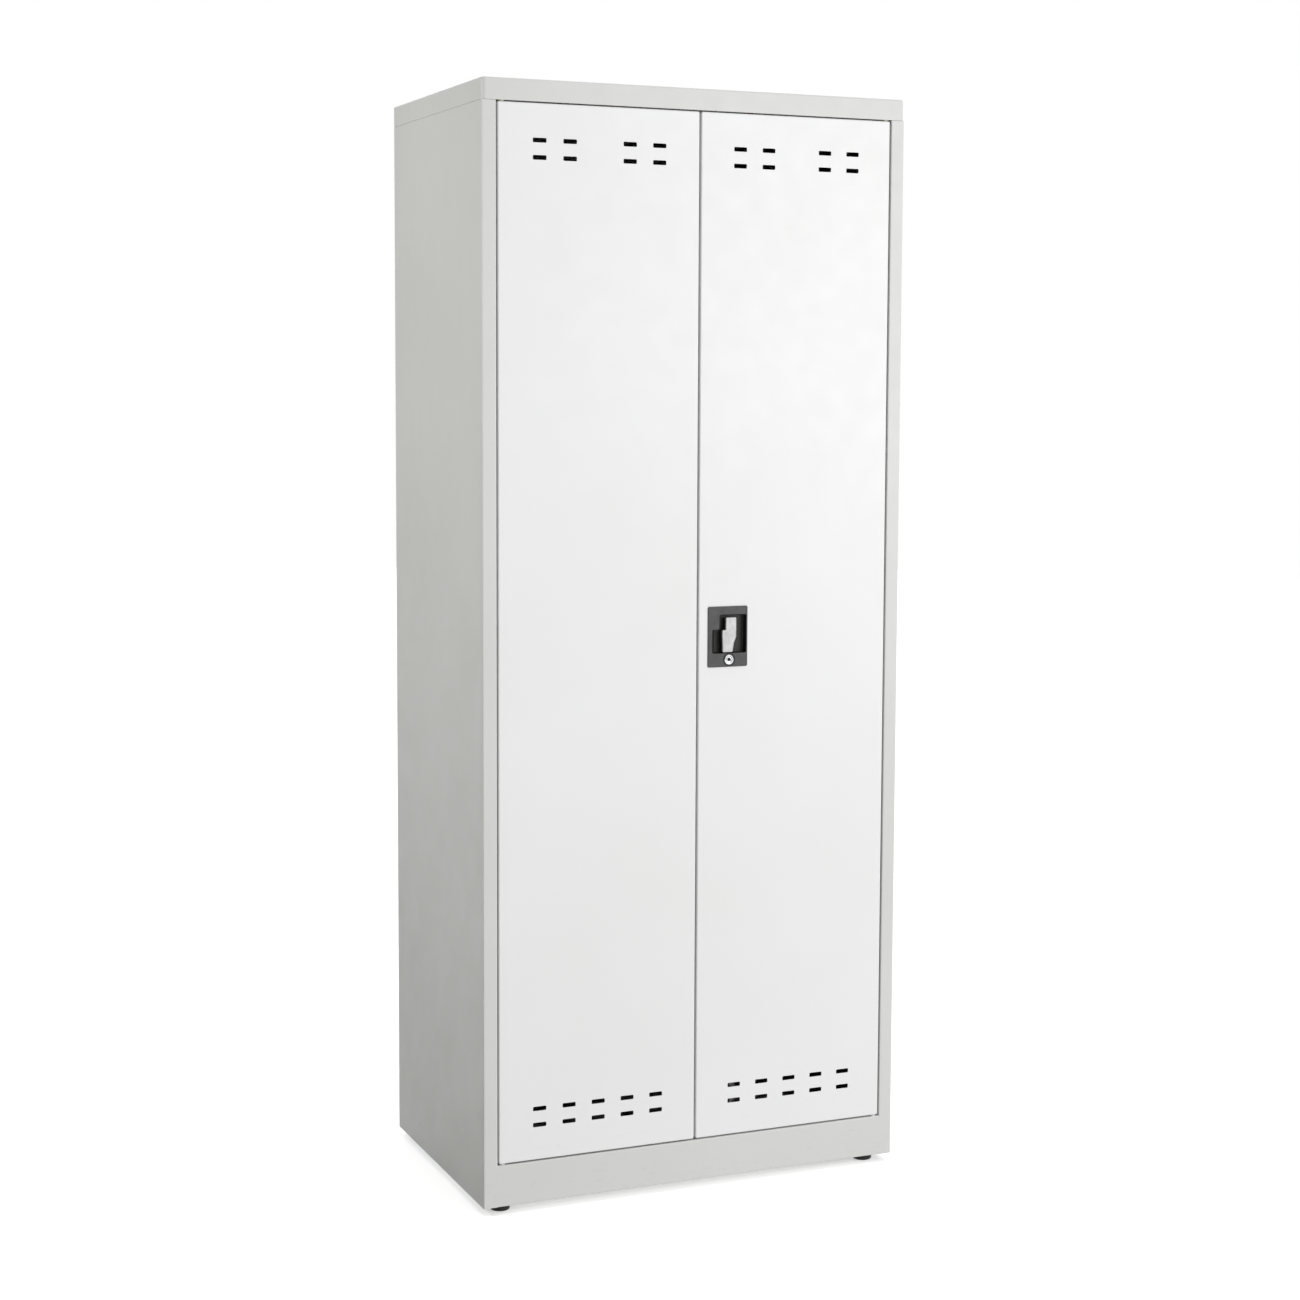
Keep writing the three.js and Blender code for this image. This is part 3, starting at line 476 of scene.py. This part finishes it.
def piece(name, solid, slot, nodes, width=0.3 * MM, body=None, looks=None):
    """The solid as a piece that stands for CAD nodes, or is an extra on a body."""
    bmesh.ops.recalc_face_normals(solid, faces=solid.faces)
    mesh = bpy.data.meshes.new(name)
    solid.to_mesh(mesh)
    solid.free()
    mesh.shade_smooth()
    for look in looks or (LOOKS[slot],):
        mesh.materials.append(look)
    made = bpy.data.objects.new(name, mesh)
    bpy.context.scene.collection.objects.link(made)
    soften(made, width)
    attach(made, body or frame["nodes"][nodes[0]]["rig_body"])
    if nodes:
        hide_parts(*nodes)


def middle_of(name):
    low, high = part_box(name)
    return (low + high) / 2


# ---- Carcass ----


def side_panel(side):
    """Web, folded front stile and rear flange, with the tongue that holds the cap."""
    name = f"{side}_side_panel"
    low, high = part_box(name)
    cap_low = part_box("top_cap")[0]
    outer, sign = (low.x, 1) if side == "left" else (high.x, -1)
    top, tongue_top = cap_low.z - FIT, high.z
    half = SHEET / 2
    stile, depth, hem, flange = 25.7 * MM, 26 * MM, 11 * MM, 24 * MM
    path = [
        (stile - half - hem, low.y + depth - half),
        (stile - half, low.y + depth - half),
        (stile - half, low.y + half),
        (half, low.y + half),
        (half, high.y - half),
        (half + flange, high.y - half),
    ]
    solid = prism(bmesh.new(), folded([(outer + sign * a, b) for a, b in path]), "z", low.z, top)
    inner = sorted((outer + sign * (SHEET + FIT), outer + sign * (2 * SHEET + FIT)))
    reach = top - (tongue_top - top)
    block(solid, (inner[0], -TONGUE_HALF, reach), (inner[1], TONGUE_HALF, tongue_top))
    weld, weld_height = sorted((outer + sign * half, inner[0] + half)), 13 * MM
    block(solid, (weld[0], -TONGUE_HALF, reach), (weld[1], TONGUE_HALF, reach + weld_height))
    piece(f"{side}_panel_sheet", solid, "grey_paint", [name])


def top_cap():
    """A tray of sheet upside down, with its edges rolled."""
    low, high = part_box("top_cap")
    corners = (CAP_FRONT_CORNER, CAP_FRONT_CORNER, CAP_REAR_CORNER, CAP_REAR_CORNER)

    def shape(d):
        return rounded(rect(low[:2], high[:2], d), [max(r - d, 0.5 * MM) for r in corners])

    rings = rolled(shape, "z", high.z, -1, CAP_ROLL, 6)
    rings += [ring(shape(0), "z", low.z), ring(shape(SHEET), "z", low.z)]
    rings += rolled(lambda d: shape(SHEET + d), "z", high.z - SHEET, -1, CAP_ROLL - SHEET, 4)[::-1]
    piece("top_cap_sheet", loft(bmesh.new(), rings), "grey_paint", ["top_cap"])


def bar_sides(name):
    """The sides, in x, of a slide bolt or of a locking rod without its rack."""
    low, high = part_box(name)
    if name == "upper_rod":
        return low.x, low.x + ROD_WIDTH
    if name == "lower_rod":
        return high.x - ROD_WIDTH, high.x
    return low.x, high.x


def bar_slot(cutter, name, z, clearance, reach):
    """Add the slot that a rod or bolt goes through, in a sheet at height z, to the cutter."""
    (x0, x1), (y0, y1) = bar_sides(name), BAR_Y
    block(cutter, (x0 - clearance, y0 - clearance, z - reach), (x1 + clearance, y1 + clearance, z + reach))


def plinth():
    """A folded channel with slots for the lower rod and bolt, and holes for the lower bushes."""
    low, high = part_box("plinth")
    half = SHEET / 2
    path = [(high.y, high.z - half), (low.y + half, high.z - half),
            (low.y + half, low.z + half), (high.y, low.z + half)]
    # It runs on into the stiles' rounded edges, so that the joint is only a faint line
    weld, reach = 0.8 * MM, 4 * MM
    solid = prism(bmesh.new(), folded(path), "x", low.x - weld, high.x + weld)
    cutter = bmesh.new()
    for name in ("lower_rod", "lower_bolt"):
        bar_slot(cutter, name, high.z, 0.8 * MM, reach)
    for side in ("left", "right"):
        bush = middle_of(f"{side}_lower_bush").xy
        prism(cutter, circle(*bush, BUSH_HOLE_R), "z", high.z - reach, high.z + reach)
    piece("plinth_sheet", carved(solid, cutter), "grey_paint", ["plinth"])


def rear_rivets():
    """Blind rivets that hold the back panel to the side panels' flanges."""
    low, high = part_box("back_panel")
    line, y = CAD_HIGH.x - RIVET_LINE, CAD_HIGH.y
    head = [(0, y + 0.5 * MM), (1.1 * MM, y + 0.55 * MM), (1.25 * MM, y + 1.1 * MM),
            (2.2 * MM, y + 0.95 * MM), (3 * MM, y + 0.5 * MM), (3.2 * MM, y - 0.1 * MM), (0, y - 0.1 * MM)]
    solid = bmesh.new()
    for x in (line, -line):
        for k in range(RIVETS):
            z = low.z + RIVET_ENDS[0] + (high.z - low.z - sum(RIVET_ENDS)) * k / (RIVETS - 1)
            turned(solid, head, (x, z), "y", 20)
    piece("rear_rivets", solid, "grey_paint", [], 0.1 * MM, "carcass")


# ---- Doors ----


def slot_cutter(low, high):
    """Cutter for a door's ventilation slots."""
    cutter = bmesh.new()
    middle = (low.x + high.x) / 2
    a, b = SLOT_LENGTH / 2, SLOT_HEIGHT / 2
    rows = [(high.z - drop, (-2, -1, 1, 2)) for drop in SLOT_ROWS_TOP]
    rows += [(low.z + rise, (-2, -1, 0, 1, 2)) for rise in SLOT_ROWS_BOTTOM]
    for z, columns in rows:
        for column in columns:
            x = middle + column * SLOT_PITCH
            outline = rounded(rect((x - a, z - b), (x + a, z + b)), SLOT_CORNER, 4)
            prism(cutter, outline, "y", low.y - 2 * MM, low.y + 3 * MM)
    return cutter


def end_cutter(low, high, pin, bars):
    """Cutter for a door's ends: pin holes, and slots for the upper and the lower rod or bolt."""
    cutter, reach = bmesh.new(), 3 * MM
    for z in (low.z, high.z):
        prism(cutter, circle(*pin, PIN_HOLE_R, 24), "z", z - reach, z + reach)
    for name, z in zip(bars, (high.z, low.z)):
        bar_slot(cutter, name, z, 0.5 * MM, reach)
    return cutter


def door_pan(low, high):
    """A folded pan: rolled front edges, returns and a lip all round at the back."""

    def shape(d):
        return rounded(rect((low.x, low.z), (high.x, high.z), d), max(DOOR_CORNER - d, 0.6 * MM))

    inside, inner_bend = high.y - SHEET, 0.4 * MM
    rings = rolled(shape, "y", low.y, 1, DOOR_ROLL, 5)
    rings += rolled(shape, "y", high.y, -1, DOOR_BACK_ROLL, 4)[::-1]
    rings += [ring(shape(DOOR_LIP), "y", high.y), ring(shape(DOOR_LIP), "y", inside)]
    rings += [ring(shape(SHEET + inner_bend), "y", inside), ring(shape(SHEET), "y", inside - inner_bend)]
    rings += rolled(lambda d: shape(SHEET + d), "y", low.y + SHEET, 1, DOOR_ROLL - SHEET, 3)[::-1]
    return loft(bmesh.new(), rings)


def door(side, *bars):
    name = f"{side}_door"
    low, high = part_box(name)
    pin = middle_of(f"{side}_upper_pin").xy
    cutters = [slot_cutter(low, high), end_cutter(low, high, pin, bars)]
    if side == "right":
        opening = rounded(rect(*housing_body(), -FIT), 1.5 * MM)
        cutters.append(prism(bmesh.new(), opening, "y", low.y - 2 * MM, low.y + 4 * MM))
    piece(f"{side}_door_pan", carved(door_pan(low, high), *cutters), "white_paint", [name])


# ---- Handle and lock ----


def housing_body():
    """The part of the housing that goes through the door, as corners in x and z."""
    low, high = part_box("handle_housing")
    start = low.x + BODY_BORDER["left"], low.z + BODY_BORDER["bottom"]
    end = high.x - BODY_BORDER["right"], high.z - BODY_BORDER["top"]
    return start, end


def handle_housing():
    """Cover plate and recess, with a raised block at the recess's upper left and a sloping left side."""
    low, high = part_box("handle_housing")
    body_low, body_high = housing_body()

    def plate(d):
        return rounded(rect((low.x, low.z), (high.x, high.z), d), PLATE_CORNER - d)

    def body(d):
        return rounded(rect(body_low, body_high, d), BODY_CORNER - d)

    seat = low.y + 1.7 * MM
    rings = rolled(plate, "y", low.y, 1, 0.9 * MM, 4)
    rings += [ring(plate(0), "y", seat), ring(body(0), "y", seat)]
    rings += rolled(body, "y", high.y, -1, 1 * MM, 3)[::-1]
    solid = loft(bmesh.new(), rings)

    floor_y = low.y + POCKET_DEPTH
    x0, x1 = low.x + POCKET_BORDER["left"], high.x - POCKET_BORDER["right"]
    z0, z1 = low.z + POCKET_BORDER["bottom"], high.z - POCKET_BORDER["top"]
    block_x, block_z = low.x + STOP_BLOCK[0], high.z - STOP_BLOCK[1]

    def pocket(d, shift=0.0):
        left = x0 + shift
        corners = [(left, z0), (x1, z0), (x1, z1), (block_x, z1), (block_x, block_z), (left, block_z)]
        return inset(rounded(corners, POCKET_CORNER), d)

    slope, slope_start, roll = 7 * MM, low.y + 7 * MM, 2.2 * MM
    cutter_rings = [
        ring(pocket(-0.9 * MM), "y", low.y - 1 * MM),
        ring(pocket(-0.9 * MM), "y", low.y),
        ring(pocket(-0.3 * MM), "y", low.y + 0.25 * MM),
        ring(pocket(0), "y", low.y + 0.9 * MM),
        ring(pocket(0), "y", slope_start),
    ]
    cutter_rings += rolled(lambda d: pocket(d, slope), "y", floor_y, -1, roll, 4)[::-1]
    cutter = loft(bmesh.new(), cutter_rings)

    bores = bmesh.new()
    hub, lock = middle_of("drive_pinion").xz, middle_of("lock_barrel").xz
    for centre, radius in ((hub, HUB_R + FIT), (lock, BARREL_R + FIT)):
        prism(bores, circle(*centre, radius), "y", low.y - 2 * MM, high.y + 2 * MM)
    seat_low, seat_high, seat_depth = LOCK_SEAT
    dish = [(seat_high + 0.5 * MM, low.y - 1 * MM), (seat_high, low.y), (seat_low, low.y + seat_depth)]
    lock_seat = turned(bmesh.new(), dish, lock, "y", 72)
    made = carved(solid, cutter, lock_seat, bores)
    margin = 1 * MM
    # The recess's walls and floor and the lock seat's dish get the darker black: painted shade in the hollows
    for face in made.faces:
        x, y, z = face.calc_center_median()
        over_pocket = x0 - margin < x < x1 + margin and z0 - margin < z < z1 + margin
        over_seat = math.hypot(x - lock[0], z - lock[1]) < seat_high
        in_painted_shade = (over_pocket and y < floor_y + 0.1 * MM) or (over_seat and y < low.y + 2 * MM)
        face.material_index = int(in_painted_shade and y > low.y + 0.3 * MM)
    piece("handle_housing_moulding", made, "black_plastic", ["handle_housing"], 0.25 * MM,
          looks=(LOOKS["black_plastic"], BLACK_AND_PAINTED_SHADE))


def handle_lever():
    """The S-shaped lever with its hub and square spindle."""
    low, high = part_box("handle_lever")
    x, z = middle_of("drive_pinion").xz
    half = (high.z - low.z) / 2
    outer = (high.x - low.x) / 2 - 0.3 * MM
    inner, step, taper = 6.9 * MM, 9 * MM, 4 * MM
    corners = [(outer, -taper), (outer, half), (-inner, half), (-inner, step), (-outer, step), (-outer, 0),
               (-outer + 0.8 * MM, -half), (inner, -half), (inner + 2.4 * MM, -1.6 * step)]
    radii = [4 * MM, 2.6 * MM, 2.6 * MM, 1.6 * MM, 2.6 * MM, 2 * MM, 2.6 * MM, 2.6 * MM, 6 * MM]
    outline = rounded([(x + a, z + b) for a, b in corners], radii, 6)
    back, spindle, overlap = low.y + 7 * MM, 3.5 * MM, 0.5 * MM
    rings = rolled(lambda d: inset(outline, d), "y", low.y, 1, 1.4 * MM, 6)
    rings += rolled(lambda d: inset(outline, d), "y", back, -1, 0.6 * MM, 2)[::-1]
    solid = loft(bmesh.new(), rings)
    hub_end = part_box("handle_housing")[1].y + 0.5 * MM
    turned(solid, [(HUB_R, back - overlap), (HUB_R, hub_end)], (x, z), "y")
    square = rounded(rect((x - spindle, z - spindle), (x + spindle, z + spindle)), 0.4 * MM, 2)
    prism(solid, square, "y", hub_end - overlap, high.y)
    piece("handle_lever_casting", solid, "satin_zinc", ["handle_lever"], 0.2 * MM)


def lock_barrel():
    """The lock's body behind the plate, and the bright ring in front of it."""
    low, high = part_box("lock_barrel")
    ring_r, bore, steps = (high.x - low.x) / 2, PLUG_R + FIT, 6
    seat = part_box("handle_housing")[0].y
    skirt = seat + LOCK_SEAT[2]
    sines = [math.sin(math.pi / 2 * k / steps) for k in range(steps + 1)]
    front = [(ring_r - 0.9 * MM * s, seat - (seat - low.y) * s) for s in sines]
    roll_in = [(bore + 0.5 * MM, low.y), (bore + 0.2 * MM, low.y + 0.15 * MM), (bore, low.y + 0.45 * MM)]
    section = [(BARREL_R, high.y), (BARREL_R, skirt), (ring_r, skirt), *front, *roll_in, (bore, high.y)]
    solid = turned_tube(section, middle_of("lock_barrel").xz, "y", 72)
    piece("lock_barrel_chromed", solid, "chrome", ["lock_barrel"], 0.08 * MM)


def lock_plug():
    """The turning plug with its dished face and keyway, and the square that carries the cam."""
    low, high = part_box("lock_plug")
    x, z = middle_of("lock_barrel").xz
    tail, square = high.y - 6 * MM, 2.4 * MM
    face_profile = [(0, 1.7), (2.5, 1.6), (2.8, 1.1), (3.5, 0.25), (4, 0)]
    profile = [(r * MM, low.y + y * MM) for r, y in face_profile]
    profile += [(PLUG_R - 0.4 * MM, low.y), (PLUG_R, low.y + 0.4 * MM), (PLUG_R, tail), (0, tail)]
    keyway = [(-0.7, -3.2), (0.7, -3.2), (0.7, -1), (1.2, -0.4),
              (1.2, 0.6), (0.7, 1.2), (0.7, 3.2), (-0.7, 3.2)]
    slot = [(x + a * MM, z + b * MM) for a, b in keyway]
    cutter = prism(bmesh.new(), slot, "y", low.y - 1 * MM, low.y + 8 * MM)
    solid = carved(turned(bmesh.new(), profile, (x, z), "y", 64), cutter)
    # The dished face and the keyway get the darker black: painted shade in the hole
    for face in solid.faces:
        face.material_index = int(low.y + 0.9 * MM < face.calc_center_median().y < low.y + 9 * MM)
    end = rounded(rect((x - square, z - square), (x + square, z + square)), 0.3 * MM, 2)
    prism(solid, end, "y", tail - 0.5 * MM, high.y)
    piece("lock_plug_chromed", solid, "chrome", ["lock_plug"], 0.08 * MM, looks=(LOOKS["chrome"], BLACK_AND_PAINTED_SHADE))


# ---- Feet and inside fittings ----


def foot(name):
    """A levelling foot: moulded pad and neck, and a threaded stud."""
    low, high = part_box(name)
    centre = middle_of(name).xy
    r, pad, neck_r, neck_top = (high.x - low.x) / 2, low.z + 12 * MM, 8 * MM, low.z + 16.1 * MM
    body = [(r - 3 * MM, low.z), (r - 1.6 * MM, low.z + 0.3 * MM), (r - 0.5 * MM, low.z + 1.1 * MM),
            (r, low.z + 2.4 * MM), (r, low.z + 4.6 * MM), (r - 0.35 * MM, low.z + 4.9 * MM),
            (r - 0.35 * MM, low.z + 5.6 * MM), (r, low.z + 5.9 * MM), (r, pad - 3.2 * MM),
            (r - 0.6 * MM, pad - 1.5 * MM), (r - 2 * MM, pad - 0.4 * MM), (r - 4 * MM, pad),
            (neck_r + 1 * MM, pad + 0.1 * MM), (neck_r, pad + 0.9 * MM), (neck_r, neck_top)]
    piece(f"{name}_pad", turned(bmesh.new(), body, centre, "z", 64), "black_plastic", [name], 0.15 * MM,
          looks=(BLACK_AND_PAINTED_SHADE,))
    core, crest, pitch = 3.4 * MM, 4 * MM, 1.25 * MM
    turns = int((high.z - neck_top - 1.5 * MM) / pitch)
    thread = [(core, neck_top - 1 * MM)]
    for k in range(turns):
        z = neck_top + k * pitch
        thread += [(core, z), (crest, z + 0.45 * pitch), (crest, z + 0.55 * pitch)]
    thread += [(core, neck_top + turns * pitch), (core - 0.6 * MM, high.z)]
    piece(f"{name}_stud", turned(bmesh.new(), thread, centre, "z", 28), "zinc_steel", [name], 0.05 * MM)


def coat_rail():
    low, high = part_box("coat_rail")
    r, wall = (high.y - low.y) / 2, 1.2 * MM
    section = [(r - wall, low.x), (r - 0.2 * MM, low.x), (r, low.x + 0.3 * MM),
               (r, high.x - 0.3 * MM), (r - 0.2 * MM, high.x), (r - wall, high.x)]
    solid = turned_tube(section, middle_of("coat_rail").yz, "x", 56)
    piece("coat_rail_tube", solid, "zinc_steel", ["coat_rail"], 0.1 * MM)


def dress(obj, slot, shade_smooth):
    """Give a CAD node that keeps its shape its material and small rounded edges."""
    obj.data.materials.clear()
    obj.data.materials.append(LOOKS[slot])
    weld = obj.modifiers.new("joined_corners", "WELD")
    weld.merge_threshold = 0.005 * MM
    smooth = obj.modifiers.new("smooth", "NODES")
    smooth.node_group = shade_smooth
    soften(obj, 0.25 * MM)


def smooth_group():
    """A node group that shades a mesh smooth."""
    group = bpy.data.node_groups.new("shade_smooth", "GeometryNodeTree")
    for direction in ("INPUT", "OUTPUT"):
        group.interface.new_socket("Geometry", in_out=direction, socket_type="NodeSocketGeometry")
    start, end = group.nodes.new("NodeGroupInput"), group.nodes.new("NodeGroupOutput")
    shade = group.nodes.new("GeometryNodeSetShadeSmooth")
    group.links.new(start.outputs[0], shade.inputs[0])
    group.links.new(shade.outputs[0], end.inputs[0])
    return group


def slot_of(obj):
    """The record's material slot of a CAD node, which its packed material is named after."""
    return obj.data.materials[0].name.split(".")[0]


def build():
    for side, bars in (("left", ("upper_bolt", "lower_bolt")), ("right", ("upper_rod", "lower_rod"))):
        side_panel(side)
        door(side, *bars)
        for end in ("front", "rear"):
            foot(f"{side}_{end}_foot")
    top_cap()
    plinth()
    rear_rivets()
    handle_housing()
    handle_lever()
    lock_barrel()
    lock_plug()
    coat_rail()
    shade_smooth = smooth_group()
    for obj in frame["nodes"].values():
        if not obj.hide_render:
            dress(obj, slot_of(obj), shade_smooth)


# ---- Studio ----


def studio_world():
    """White in front and behind, dim overhead and on the right, dimmest on the left.

    The camera sees it as plain white.
    """
    world = bpy.data.worlds.new("studio")
    bpy.context.scene.world = world
    world.use_nodes = True
    tree = world.node_tree
    tree.nodes.clear()
    direction = node(tree, "ShaderNodeTexCoord").outputs["Generated"]
    across, _, up = node(tree, "ShaderNodeSeparateXYZ", Vector=direction).outputs
    white = (1, 1, 1, 1)
    left_dark, right_dim = (0.02, 0.02, 0.01, 1), (0.28, 0.28, 0.28, 1)
    stops = (0.25, left_dark), (0.53, white), (0.68, white), (0.95, right_dim)
    colour = ramp(tree, ranged(tree, across, -1, 1, 0, 1), *stops)
    light = node(tree, "ShaderNodeBackground", Color=colour, Strength=ranged(tree, up, 0.4, 1, 1.36, 0.82))
    plain = node(tree, "ShaderNodeBackground", Color=white, Strength=1.0)
    seen = node(tree, "ShaderNodeLightPath").outputs["Is Camera Ray"]
    either = node(tree, "ShaderNodeMixShader", i0=seen, i1=light.outputs[0], i2=plain.outputs[0])
    tree.links.new(either.outputs[0], tree.nodes.new("ShaderNodeOutputWorld").inputs[0])


def softbox(name, place, target, size, power):
    light = bpy.data.lights.new(name, "AREA")
    light.shape, light.size, light.energy = "DISK", size, power
    made = bpy.data.objects.new(name, light)
    made.location = place
    made.rotation_euler = (Vector(target) - Vector(place)).to_track_quat("-Z", "Y").to_euler()
    made.visible_camera = False
    bpy.context.scene.collection.objects.link(made)


def overhead(name, strength, spread):
    """Even light from straight above, so soft that its shadows are only faint."""
    light = bpy.data.lights.new(name, "SUN")
    light.energy, light.angle = strength, math.radians(spread)
    made = bpy.data.objects.new(name, light)
    bpy.context.scene.collection.objects.link(made)


def studio_floor():
    """A plain pale floor under the object."""
    made, tree, shader = material("pale_floor")
    pale = (0.3, srgb(247, 247, 247)), (0.7, srgb(250, 250, 250))
    feed(tree, shader, "Base Color", ramp(tree, noise(tree, spot(tree), 1.5, 2), *pale))
    shader.inputs["Roughness"].default_value = 0.7
    shader.inputs["Emission Color"].default_value = (1, 1, 1, 1)
    shader.inputs["Emission Strength"].default_value = 0.4
    mesh = bpy.data.meshes.new("floor")
    surface = bmesh.new()
    surface.faces.new([surface.verts.new(p) for p in ring(circle(0, 0, FLOOR_R, 96), "z", 0)])
    surface.to_mesh(mesh)
    surface.free()
    mesh.materials.append(made)
    floor = bpy.data.objects.new("floor", mesh)
    bpy.context.scene.collection.objects.link(floor)
    floor.visible_diffuse = False


def studio():
    studio_world()
    studio_floor()
    softbox("side_light", (-2.2, 0, 1.8), (CAD_LOW.x, 0, 1.8), size=1.0, power=25)
    softbox("front_light", (1.9, -3.2, 1.75), (0.3, CAD_LOW.y, 0.9), size=2.0, power=50)
    overhead("top_light", strength=0.8, spread=60)
    bpy.context.scene.view_settings.view_transform = "Standard"


# The camera was fitted to the photograph: where it stands, which way it looks and how it's tilted
CAMERA_PLACE = Vector((-1.70436, -4.03108, 1.44742))
CAMERA_YAW, CAMERA_PITCH, CAMERA_ROLL = 0.40291, -0.08831, 0.00413
CAMERA_LENS, CAMERA_SHIFT_Y = 65.558, -0.04615


def camera():
    data = bpy.data.cameras.new("camera")
    data.sensor_width, data.lens, data.shift_y = 36, CAMERA_LENS, CAMERA_SHIFT_Y
    made = bpy.data.objects.new("camera", data)
    bpy.context.scene.collection.objects.link(made)
    yaw, pitch = CAMERA_YAW, CAMERA_PITCH
    forward = Vector((math.sin(yaw) * math.cos(pitch), math.cos(yaw) * math.cos(pitch), math.sin(pitch)))
    right = Vector((math.cos(yaw), -math.sin(yaw), 0))
    roll = Matrix.Rotation(CAMERA_ROLL, 3, -forward)
    axes = [roll @ right, roll @ right.cross(forward), -forward]
    made.matrix_world = Matrix.Translation(CAMERA_PLACE) @ Matrix(axes).transposed().to_4x4()
    bpy.context.scene.camera = made


build()
studio()
camera()
